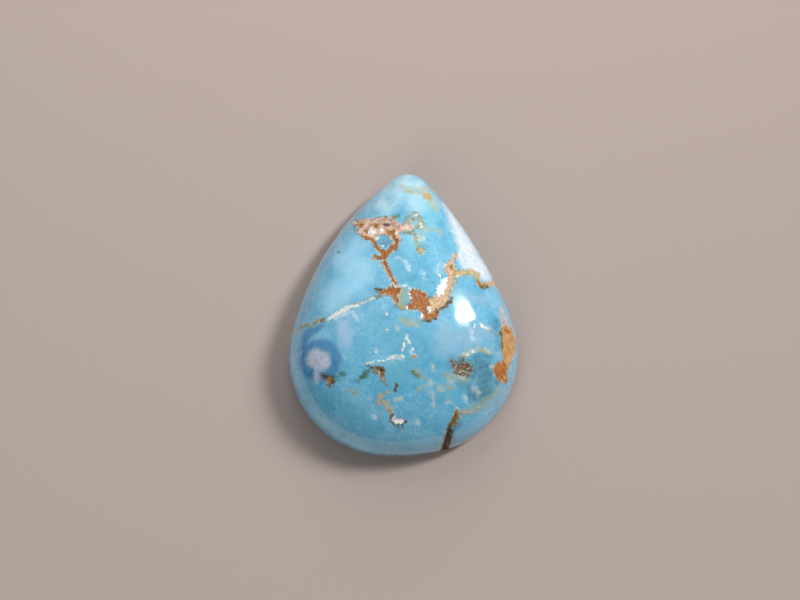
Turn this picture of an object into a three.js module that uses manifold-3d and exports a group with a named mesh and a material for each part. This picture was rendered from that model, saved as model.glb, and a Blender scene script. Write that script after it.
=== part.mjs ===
// A pear-shaped turquoise cabochon: one polished stone with a flat back and a domed face.
// Its soft brown matrix is undercut by the polishing, which leaves shallow hollows in the face,
// and it has a few open pits and one open seam that notches the edge.
// Millimetres. +Y runs towards the point of the pear and +Z out of the domed face.
// The origin is in the middle of the flat back.
import * as THREE from "three";
import { ParametricGeometry } from "three/addons/geometries/ParametricGeometry.js";
import { mergeVertices } from "three/addons/utils/BufferGeometryUtils.js";
import Module from "manifold-3d";

// Driving dimensions
const LENGTH = 20.1;
const WIDTH = 16;
const HEIGHT = 5.4;

// The outline is six arcs, each tangent to the next: base, hips, flanks and point.
const BASE_RADIUS = 13.5;
const BASE_OFFSET = -0.55; // the base is a little fuller on the left
const HIP_RADIUS = 7;
const LEFT_FLANK_RADIUS = 20;
const RIGHT_FLANK_RADIUS = 30;
const POINT_RADIUS = 1.75;
const POINT_OFFSET = 0.33; // the point sits a little right of the middle

// The section: a chamfered back edge, an upright girdle and an elliptical dome.
const BACK_CHAMFER = 0.35;
const GIRDLE_TOP = 0.9;
const APEX_Y = -1.6; // the highest place of the dome is nearer the base than the point

// How finely the stone is faceted
const OUTLINE_STEPS = 120;
const DOME_STEPS = 25;
const HOLLOW_STEPS = 5; // facets between two points of a hollow's edge
const PIT_DETAIL = 2;

// Hollows worn into the soft matrix: the depth below the face, and the edge seen from above.
const CRUMBLING_BAND = {
  depth: 0.2,
  edge: [
    [-3.6, 6], [-3, 6.4], [-1.5, 6.1], [-0.4, 5.7], [0.5, 5.5],
    [0.1, 5], [-0.5, 4.6], [-1.5, 4.7], [-2.8, 4.8], [-3.3, 5.4],
  ],
};
const RUST_HEART = {
  depth: 0.12,
  edge: [
    [-1.5, 0.5], [-0.4, 0.9], [1, 0.6], [1.8, 0.3], [3, 0.4], [2.9, -0.3],
    [2.3, -0.9], [1.6, -1.4], [1, -0.8], [0.2, -0.4], [-0.5, -0.2], [-1.1, 0.2],
  ],
};
const OCHRE_FLAKE = {
  depth: 0.15,
  edge: [
    [6.9, -0.4], [7.4, -1], [7.6, -2.4], [7.5, -3.2], [7.2, -4], [7.2, -4.7],
    [6.8, -5.2], [6.3, -4.9], [6, -4.3], [6.8, -3.8], [6.8, -3], [6.6, -1.8],
  ],
};
// This one runs out over the lower edge and notches it.
const OPEN_SEAM = {
  depth: 0.45,
  edge: [
    [3.5, -7.2], [3.8, -7.6], [3.6, -8.5], [3.4, -9.1], [3.3, -10.4],
    [2.5, -10.4], [2.8, -9.1], [3.1, -8.4], [3.4, -7.8],
  ],
};
const HOLLOWS = [CRUMBLING_BAND, RUST_HEART, OCHRE_FLAKE, OPEN_SEAM];
const ABOVE_DOME = 1; // how far the cutting columns stand above the apex

// Open pits: where each bowl sits in the face, its radius and its depth.
const PITS = [
  { at: [3.7, -4.3], radius: 0.55, depth: 0.3 },
  { at: [4.3, -4.5], radius: 0.5, depth: 0.25 },
  { at: [4, -4], radius: 0.4, depth: 0.2 },
  { at: [-0.4, -7.9], radius: 0.4, depth: 0.2 },
  { at: [-1.8, -4.7], radius: 0.4, depth: 0.15 },
  { at: [-5, -5.2], radius: 0.4, depth: 0.15 },
];

const turquoise = new THREE.MeshStandardMaterial({
  name: "polished turquoise",
  color: 0x5fb2cc,
  roughness: 0.18,
  metalness: 0,
});

const wasm = await Module();
wasm.setup();

// A closed geometry as a solid that can be cut and joined.
function solidFrom(geometry) {
  const bare = geometry.clone();
  bare.deleteAttribute("normal");
  bare.deleteAttribute("uv");
  const merged = mergeVertices(bare);
  return new wasm.Manifold(
    new wasm.Mesh({
      numProp: 3,
      vertProperties: merged.attributes.position.array,
      triVerts: new Uint32Array(merged.index.array),
    }),
  );
}

function geometryFrom(solid) {
  const mesh = solid.getMesh();
  const geometry = new THREE.BufferGeometry();
  geometry.setAttribute("position", new THREE.BufferAttribute(mesh.vertProperties, 3));
  geometry.setIndex(new THREE.BufferAttribute(mesh.triVerts, 1));
  geometry.computeVertexNormals();
  return geometry;
}

// The centre of the flank arc that touches the hip and point circles from outside.
// side is 1 for the right flank, whose centre lies to the left, and -1 for the left flank.
function flankCentre(hip, point, radius, side) {
  const toHip = radius - HIP_RADIUS;
  const toPoint = radius - POINT_RADIUS;
  const along = point.clone().sub(hip);
  const apart = along.length();
  along.normalize();
  const leftward = new THREE.Vector2(-along.y, along.x);
  const foot = (toHip ** 2 - toPoint ** 2 + apart ** 2) / (2 * apart);
  const reach = Math.sqrt(toHip ** 2 - foot ** 2);
  return hip.clone().addScaledVector(along, foot).addScaledVector(leftward, side * reach);
}

// The pear's outline, counterclockwise seen from above.
function pearOutline() {
  const hipX = WIDTH / 2 - HIP_RADIUS;
  const base = new THREE.Vector2(BASE_OFFSET, BASE_RADIUS - LENGTH / 2);
  const hipY = (x) => base.y - Math.sqrt((BASE_RADIUS - HIP_RADIUS) ** 2 - (x - base.x) ** 2);
  const rightHip = new THREE.Vector2(hipX, hipY(hipX));
  const leftHip = new THREE.Vector2(-hipX, hipY(-hipX));
  const point = new THREE.Vector2(POINT_OFFSET, LENGTH / 2 - POINT_RADIUS);
  const rightFlank = flankCentre(rightHip, point, RIGHT_FLANK_RADIUS, 1);
  const leftFlank = flankCentre(leftHip, point, LEFT_FLANK_RADIUS, -1);

  // Two arcs touch on the line through their centres.
  const towards = (from, to) => to.clone().sub(from).angle();
  const baseToRight = towards(base, rightHip);
  const hipToRightFlank = towards(rightFlank, rightHip);
  const rightFlankToPoint = towards(rightFlank, point);
  const pointToLeftFlank = towards(leftFlank, point);
  const leftFlankToHip = towards(leftFlank, leftHip);
  const hipToBase = towards(base, leftHip);

  const path = new THREE.Path();
  path.absarc(base.x, base.y, BASE_RADIUS, hipToBase, baseToRight);
  path.absarc(rightHip.x, rightHip.y, HIP_RADIUS, baseToRight, hipToRightFlank);
  path.absarc(rightFlank.x, rightFlank.y, RIGHT_FLANK_RADIUS, hipToRightFlank, rightFlankToPoint);
  path.absarc(point.x, point.y, POINT_RADIUS, rightFlankToPoint, pointToLeftFlank);
  path.absarc(leftFlank.x, leftFlank.y, LEFT_FLANK_RADIUS, pointToLeftFlank, leftFlankToHip);
  path.absarc(leftHip.x, leftHip.y, HIP_RADIUS, leftFlankToHip, hipToBase);
  return path;
}

const outlinePoints = pearOutline().getSpacedPoints(OUTLINE_STEPS);
outlinePoints[OUTLINE_STEPS] = outlinePoints[0];

// The half section, from the middle of the back round the edge to the apex:
// share is the part of the way from the apex line out to the outline, and z the height.
function halfSection() {
  const chamferShare = 1 - BACK_CHAMFER / (WIDTH / 2);
  const section = [
    { share: 0, z: 0 },
    { share: chamferShare, z: 0 },
    { share: 1, z: BACK_CHAMFER },
  ];
  for (let step = 0; step <= DOME_STEPS; step++) {
    const angle = ((Math.PI / 2) * step) / DOME_STEPS;
    section.push({
      share: step === DOME_STEPS ? 0 : Math.cos(angle),
      z: GIRDLE_TOP + (HEIGHT - GIRDLE_TOP) * Math.sin(angle),
    });
  }
  return section;
}

// The stone before any wear.
function smoothStone() {
  const section = halfSection();
  const rings = section.length - 1;
  const place = (u, v, target) => {
    const edge = outlinePoints[Math.round(u * OUTLINE_STEPS)];
    const { share, z } = section[Math.round(v * rings)];
    target.set(edge.x * share, APEX_Y + (edge.y - APEX_Y) * share, z);
  };
  return new ParametricGeometry(place, OUTLINE_STEPS, rings);
}

// The height of the smooth face over a place in plan.
function faceHeight(x, y) {
  const angle = (p) => Math.atan2(p.y - APEX_Y, p.x);
  const wanted = angle({ x, y });
  let nearest = outlinePoints[0];
  for (const p of outlinePoints) {
    if (Math.abs(angle(p) - wanted) < Math.abs(angle(nearest) - wanted)) {
      nearest = p;
    }
  }
  const share = Math.hypot(x, y - APEX_Y) / Math.hypot(nearest.x, nearest.y - APEX_Y);
  return GIRDLE_TOP + (HEIGHT - GIRDLE_TOP) * Math.sqrt(1 - share ** 2);
}

// What the wear takes out of a hollow: everything inside its edge that lies outside
// a copy of the stone shrunk all round by the hollow's depth.
function hollowCut({ depth, edge }, stone) {
  const loop = new THREE.CatmullRomCurve3(
    edge.map(([x, y]) => new THREE.Vector3(x, y, 0)),
    true,
  );
  const rim = loop.getPoints(edge.length * HOLLOW_STEPS).slice(0, -1);
  const shape = new THREE.Shape(rim.map((p) => new THREE.Vector2(p.x, p.y)));
  const column = new THREE.ExtrudeGeometry(shape, { depth: HEIGHT + ABOVE_DOME, bevelEnabled: false });
  const shrunk = stone.clone();
  shrunk.scale(1 - (2 * depth) / WIDTH, 1 - (2 * depth) / LENGTH, 1 - depth / HEIGHT);
  return solidFrom(column).subtract(solidFrom(shrunk));
}

// A round bowl whose lowest place is depth below the face.
function pitCut({ at: [x, y], radius, depth }) {
  const ball = new THREE.IcosahedronGeometry(radius, PIT_DETAIL);
  ball.translate(x, y, faceHeight(x, y) + radius - depth);
  return solidFrom(ball);
}

function wornStone() {
  const stone = smoothStone();
  let solid = solidFrom(stone);
  for (const hollow of HOLLOWS) {
    solid = solid.subtract(hollowCut(hollow, stone));
  }
  for (const pit of PITS) {
    solid = solid.subtract(pitCut(pit));
  }
  return geometryFrom(solid);
}

const cabochon = new THREE.Mesh(wornStone(), turquoise);
cabochon.name = "cabochon";

const part = new THREE.Group();
part.name = "turquoise_cabochon";
part.add(cabochon);

export default part;
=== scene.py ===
import math

import bpy
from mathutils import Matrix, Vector
from mathutils.bvhtree import BVHTree


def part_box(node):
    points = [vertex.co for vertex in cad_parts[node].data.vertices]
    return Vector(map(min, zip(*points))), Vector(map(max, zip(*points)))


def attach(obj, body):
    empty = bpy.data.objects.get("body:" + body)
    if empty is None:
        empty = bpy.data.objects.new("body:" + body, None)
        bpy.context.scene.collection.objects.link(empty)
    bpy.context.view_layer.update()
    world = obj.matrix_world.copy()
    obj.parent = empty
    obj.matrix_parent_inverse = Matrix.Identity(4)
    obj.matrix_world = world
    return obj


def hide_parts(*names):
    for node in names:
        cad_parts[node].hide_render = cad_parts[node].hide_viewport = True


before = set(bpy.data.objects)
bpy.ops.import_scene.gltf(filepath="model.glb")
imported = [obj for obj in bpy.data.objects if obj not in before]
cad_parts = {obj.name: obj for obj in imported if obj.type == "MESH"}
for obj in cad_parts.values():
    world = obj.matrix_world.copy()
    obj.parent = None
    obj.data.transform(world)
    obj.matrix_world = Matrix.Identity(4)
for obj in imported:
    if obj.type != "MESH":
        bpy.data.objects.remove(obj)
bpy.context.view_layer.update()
mm = 0.001


# node tree helpers

def feed(tree, socket, value):
    if isinstance(value, bpy.types.NodeSocket):
        tree.links.new(value, socket)
    else:
        socket.default_value = value


def add(tree, kind, inputs=None, **settings):
    made = tree.nodes.new(kind)
    for name, value in settings.items():
        setattr(made, name, value)
    for name, value in (inputs or {}).items():
        feed(tree, made.inputs[name], value)
    return made


def calc(tree, operation, *values):
    made = add(tree, "ShaderNodeMath", dict(enumerate(values)), operation=operation)
    return made.outputs[0]


def vectorCalc(tree, operation, *values):
    made = add(tree, "ShaderNodeVectorMath", dict(enumerate(values)), operation=operation)
    isNumber = operation in ("DISTANCE", "DOT_PRODUCT")
    return made.outputs["Value" if isNumber else "Vector"]


def scaled(tree, vector, factor):
    made = add(tree, "ShaderNodeVectorMath", {0: vector, "Scale": factor}, operation="SCALE")
    return made.outputs["Vector"]


def ramp(tree, value, fromLow, fromHigh, toLow=0.0, toHigh=1.0, kind="LINEAR"):
    inputs = {"Value": value, "From Min": fromLow, "From Max": fromHigh, "To Min": toLow, "To Max": toHigh}
    return add(tree, "ShaderNodeMapRange", inputs, interpolation_type=kind).outputs["Result"]


def noise(tree, place, size, seed, detail=3.0):
    inputs = {"Vector": place, "W": seed, "Scale": calc(tree, "DIVIDE", 1.0, size), "Detail": detail}
    return add(tree, "ShaderNodeTexNoise", inputs, noise_dimensions="4D").outputs[0]


def blend(tree, factor, under, over):
    made = add(tree, "ShaderNodeMix", {0: factor, 6: under, 7: over}, data_type="RGBA")
    return made.outputs[2]


def newTree(name, kind, inputs, outputs):
    tree = bpy.data.node_groups.new(name, kind)
    for label, socket in inputs.items():
        tree.interface.new_socket(label, in_out="INPUT", socket_type="NodeSocket" + socket)
    for label, socket in outputs.items():
        tree.interface.new_socket(label, in_out="OUTPUT", socket_type="NodeSocket" + socket)
    return tree, tree.nodes.new("NodeGroupInput").outputs, tree.nodes.new("NodeGroupOutput").inputs


def newGeometryTree(name, inputs):
    sockets = {"Geometry": "Geometry", "Finish": "Material", **inputs}
    tree, given, result = newTree(name, "GeometryNodeTree", sockets, {"Geometry": "Geometry"})
    tree.is_modifier = True
    return tree, given, result


def endGeometryTree(tree, geometry, given, result):
    real = add(tree, "GeometryNodeRealizeInstances", {"Geometry": geometry})
    dressed = add(tree, "GeometryNodeSetMaterial",
                  {"Geometry": real.outputs[0], "Material": given["Finish"]})
    tree.links.new(dressed.outputs[0], result[0])
    return tree


def useTree(piece, tree, values):
    modifier = piece.modifiers.new(tree.name, "NODES")
    modifier.node_group = tree
    for item in tree.interface.items_tree:
        if item.in_out == "INPUT" and item.name in values:
            modifier[item.identifier] = values[item.name]


# the camera, as the photograph was taken

photoView = {
    "imageSize": (800, 600),     # pixels
    "pixelsPerMm": 14.24,        # at the aim
    "distance": 120.0 * mm,
    "elevation": 78.0,           # degrees above the floor
    "aim": Vector((-0.225, 0.93, 0.9)) * mm,
    "sensor": 36.0,
    "clipStart": 2.4 * mm,
}


def makeCamera():
    v = photoView
    rise = math.radians(v["elevation"])
    v["back"] = Vector((0, -math.cos(rise), math.sin(rise)))
    v["right"] = Vector((1, 0, 0))
    v["up"] = v["back"].cross(v["right"])
    v["place"] = v["aim"] + v["back"] * v["distance"]
    v["focal"] = v["pixelsPerMm"] / mm * v["distance"]   # pixels
    data = bpy.data.cameras.new("photoCamera")
    data.sensor_width = v["sensor"]
    data.lens = v["sensor"] * v["focal"] / v["imageSize"][0]
    data.clip_start = v["clipStart"]
    camera = bpy.data.objects.new("photoCamera", data)
    camera.location = v["place"]
    camera.rotation_mode = "QUATERNION"
    camera.rotation_quaternion = (-v["back"]).to_track_quat("-Z", "Y")
    bpy.context.scene.collection.objects.link(camera)
    bpy.context.scene.camera = camera


def sightLine(pixel):
    v = photoView
    across = pixel[0] - v["imageSize"][0] / 2
    down = pixel[1] - v["imageSize"][1] / 2
    return (v["right"] * across - v["up"] * down - v["back"] * v["focal"]).normalized()


makeCamera()
print("camera placed")


# the stone: an outline of six tangent arcs under an elliptical dome

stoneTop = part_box("cabochon")[1].z
stoneShape = {
    "length": 20.1 * mm,
    "width": 16.0 * mm,
    "baseRadius": 13.5 * mm,
    "baseOffset": -0.55 * mm,    # the base is a little fuller on the left
    "hipRadius": 7.0 * mm,
    "leftFlankRadius": 20.0 * mm,
    "rightFlankRadius": 30.0 * mm,
    "pointRadius": 1.75 * mm,
    "pointOffset": 0.33 * mm,    # the point sits a little right of the middle
    "backChamfer": 0.35 * mm,
    "girdleTop": 0.9 * mm,
    "apex": Vector((0, -1.6, 0)) * mm,
    "outlineSteps": 90,          # in each arc
    "domeRings": 138,
    "girdleRings": 8,
    "chamferRings": 4,
    "seamGap": 0.001 * mm,       # points nearer than this are joined
    "creaseAngle": 0.5,          # radians
}

# where the faces lie on the sheet that the colours are baked on
bakeSheet = {
    "name": "OFBake",
    "gridUse": (0.7, 0.7, 0),
    "gridCorner": (0.01, 0.01, 0),
    "backLength": 0.25,
    "backMiddle": (0.86, 0.86, 0),
}


def flankCentre(hip, hipRadius, point, pointRadius, radius, side):
    toHip = radius - hipRadius
    toPoint = radius - pointRadius
    along = point - hip
    apart = along.length
    along.normalize()
    foot = (toHip ** 2 - toPoint ** 2 + apart ** 2) / (2 * apart)
    reach = math.sqrt(toHip ** 2 - foot ** 2)
    return hip + along * foot + Vector((-along.y, along.x)) * side * reach


def pearOutline():
    s = stoneShape
    hipX = s["width"] / 2 - s["hipRadius"]
    base = Vector((s["baseOffset"], s["baseRadius"] - s["length"] / 2))

    def hipAt(x):  # the hip circle touches the base circle from inside
        drop = math.sqrt((s["baseRadius"] - s["hipRadius"]) ** 2 - (x - base.x) ** 2)
        return Vector((x, base.y - drop))

    rightHip = hipAt(hipX)
    leftHip = hipAt(-hipX)
    point = Vector((s["pointOffset"], s["length"] / 2 - s["pointRadius"]))
    tip = (point, s["pointRadius"])
    rightFlank = flankCentre(rightHip, s["hipRadius"], *tip, s["rightFlankRadius"], 1)
    leftFlank = flankCentre(leftHip, s["hipRadius"], *tip, s["leftFlankRadius"], -1)
    arcs = [
        (base, s["baseRadius"]),
        (rightHip, s["hipRadius"]),
        (rightFlank, s["rightFlankRadius"]),
        tip,
        (leftFlank, s["leftFlankRadius"]),
        (leftHip, s["hipRadius"]),
    ]

    def jointAngle(first, second):  # two arcs touch on the line through their centres
        (small, _), (big, _) = sorted((first, second), key=lambda arc: arc[1])
        way = small - big
        return math.atan2(way.y, way.x)

    points = []
    for i, (centre, radius) in enumerate(arcs):
        start = jointAngle(arcs[i - 1], arcs[i])
        sweep = (jointAngle(arcs[i], arcs[(i + 1) % len(arcs)]) - start) % (2 * math.pi)
        for step in range(s["outlineSteps"]):
            angle = start + sweep * step / s["outlineSteps"]
            points.append(centre + Vector((math.cos(angle), math.sin(angle))) * radius)
    return points


def makeCurve(name, strokes, cyclic=False):
    data = bpy.data.curves.new(name, "CURVE")
    data.dimensions = "3D"
    for stroke in strokes:
        spline = data.splines.new("POLY")
        spline.points.add(len(stroke) - 1)
        spline.use_cyclic_u = cyclic
        for point, (x, y, radius) in zip(spline.points, stroke):
            point.co = (x, y, 0, 1)
            point.radius = radius
    curve = bpy.data.objects.new(name, data)
    bpy.context.scene.collection.objects.link(curve)
    return curve


def storeSheet(tree, geometry, place, factor, offset):
    sheet = vectorCalc(tree, "ADD", vectorCalc(tree, "MULTIPLY", place, factor), offset)
    stored = add(tree, "GeometryNodeStoreNamedAttribute",
                 {"Geometry": geometry, "Name": bakeSheet["name"], "Value": sheet},
                 data_type="FLOAT2", domain="CORNER")
    return stored.outputs[0]


def pearStoneTree():
    tree, given, result = newGeometryTree("pearStone", {
        "Outline": "Object", "Apex": "Vector", "Height": "Float", "Girdle Top": "Float", "Chamfer": "Float",
        "Half Width": "Float", "Dome Rings": "Int", "Girdle Rings": "Int", "Chamfer Rings": "Int",
    })
    # a square grid whose rings become the stone's rings
    edgeRings = calc(tree, "ADD", given["Girdle Rings"], given["Chamfer Rings"])
    allRings = calc(tree, "ADD", given["Dome Rings"], edgeRings)
    count = calc(tree, "ADD", calc(tree, "MULTIPLY", allRings, 2.0), 1.0)
    side = calc(tree, "MULTIPLY", calc(tree, "DIVIDE", allRings, given["Dome Rings"]), 2.0)
    grid = add(tree, "GeometryNodeMeshGrid",
               {"Size X": side, "Size Y": side, "Vertices X": count, "Vertices Y": count})
    place = add(tree, "ShaderNodeSeparateXYZ", {0: add(tree, "GeometryNodeInputPosition").outputs[0]})
    x, y = place.outputs[0], place.outputs[1]
    # 1 at the girdle's top
    ring = calc(tree, "MAXIMUM", calc(tree, "ABSOLUTE", x), calc(tree, "ABSOLUTE", y))

    # the way round the outline, evenly along each side of the square
    quarter = math.pi / 2
    angle = calc(tree, "ARCTAN2", y, x)
    turn = calc(tree, "MULTIPLY", calc(tree, "ROUND", calc(tree, "DIVIDE", angle, quarter)), quarter)
    even = calc(tree, "MULTIPLY", calc(tree, "TANGENT", calc(tree, "SUBTRACT", angle, turn)), quarter / 2)
    around = calc(tree, "FRACT", calc(tree, "DIVIDE", calc(tree, "ADD", turn, even), 2 * math.pi))
    outline = add(tree, "GeometryNodeObjectInfo", {"Object": given["Outline"]})
    edge = add(tree, "GeometryNodeSampleCurve", {"Curves": outline.outputs["Geometry"], "Factor": around},
               mode="FACTOR", use_all_curves=True)

    # the half section: dome, upright girdle, chamfer
    girdleEnd = calc(tree, "ADD", calc(tree, "DIVIDE", given["Girdle Rings"], given["Dome Rings"]), 1.0)
    chamferEnd = calc(tree, "DIVIDE", side, 2.0)
    tilt = calc(tree, "MULTIPLY", calc(tree, "MINIMUM", ring, 1.0), quarter)
    inset = calc(tree, "DIVIDE", given["Chamfer"], given["Half Width"])
    narrowing = ramp(tree, ring, girdleEnd, chamferEnd, 0.0, inset)
    share = calc(tree, "SUBTRACT", calc(tree, "SINE", tilt), narrowing)
    crown = calc(tree, "SUBTRACT", given["Height"], given["Girdle Top"])
    domeHeight = calc(tree, "MULTIPLY", calc(tree, "COSINE", tilt), crown)
    girdleHeight = ramp(tree, ring, 1.0, girdleEnd, given["Girdle Top"], given["Chamfer"])
    drop = ramp(tree, ring, girdleEnd, chamferEnd, 0.0, given["Chamfer"])
    height = calc(tree, "SUBTRACT", calc(tree, "ADD", domeHeight, girdleHeight), drop)
    outward = vectorCalc(tree, "SUBTRACT", edge.outputs["Position"], given["Apex"])
    level = add(tree, "ShaderNodeCombineXYZ", {"Z": height})
    inPlan = vectorCalc(tree, "ADD", scaled(tree, outward, share), given["Apex"])
    target = vectorCalc(tree, "ADD", inPlan, level.outputs[0])

    # each face keeps its square of the grid as its place in the texture
    mapped = storeSheet(tree, grid.outputs["Mesh"], grid.outputs["UV Map"],
                        bakeSheet["gridUse"], bakeSheet["gridCorner"])
    shell = add(tree, "GeometryNodeSetPosition", {"Geometry": mapped, "Position": target})

    # the flat back closes the chamfer's open rim
    faces = add(tree, "GeometryNodeInputMeshEdgeNeighbors").outputs[0]
    openEdge = add(tree, "FunctionNodeCompare", {2: faces, 3: 1}, data_type="INT", operation="EQUAL")
    rim = add(tree, "GeometryNodeMeshToCurve", {"Mesh": shell.outputs[0], "Selection": openEdge.outputs[0]})
    filled = add(tree, "GeometryNodeFillCurve", {"Curve": rim.outputs[0]})
    back = add(tree, "GeometryNodeFlipFaces", {"Mesh": filled.outputs[0]})
    backPlace = add(tree, "GeometryNodeInputPosition").outputs[0]
    backScale = bakeSheet["backLength"] / stoneShape["length"]
    backMapped = storeSheet(tree, back.outputs[0], backPlace,
                            (backScale, backScale, 0), bakeSheet["backMiddle"])
    joined = tree.nodes.new("GeometryNodeJoinGeometry")
    tree.links.new(shell.outputs[0], joined.inputs[0])
    tree.links.new(backMapped, joined.inputs[0])
    closed = add(tree, "GeometryNodeMergeByDistance",
                 {"Geometry": joined.outputs[0], "Distance": stoneShape["seamGap"]})
    smooth = add(tree, "GeometryNodeSetShadeSmooth", {"Geometry": closed.outputs[0]})
    corner = add(tree, "GeometryNodeInputMeshEdgeAngle").outputs["Unsigned Angle"]
    sharp = calc(tree, "GREATER_THAN", corner, stoneShape["creaseAngle"])
    creased = add(tree, "GeometryNodeSetShadeSmooth",
                  {"Geometry": smooth.outputs[0], "Selection": sharp, "Shade Smooth": False}, domain="EDGE")
    return endGeometryTree(tree, creased.outputs[0], given, result)


def makeStone(finish):
    s = stoneShape
    helper = makeCurve("outlineHelper", [[(p.x, p.y, 1) for p in pearOutline()]], cyclic=True)
    stone = bpy.data.objects.new("cabochon_stone", bpy.data.meshes.new("cabochon_stone"))
    bpy.context.scene.collection.objects.link(stone)
    useTree(stone, pearStoneTree(), {
        "Finish": finish,
        "Outline": helper,
        "Apex": s["apex"],
        "Height": stoneTop,
        "Girdle Top": s["girdleTop"],
        "Chamfer": s["backChamfer"],
        "Half Width": s["width"] / 2,
        "Dome Rings": s["domeRings"],
        "Girdle Rings": s["girdleRings"],
        "Chamfer Rings": s["chamferRings"],
    })
    return stone, [helper]


# where the markings run: strokes of (across, down, half width) in pixels of the photograph

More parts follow.
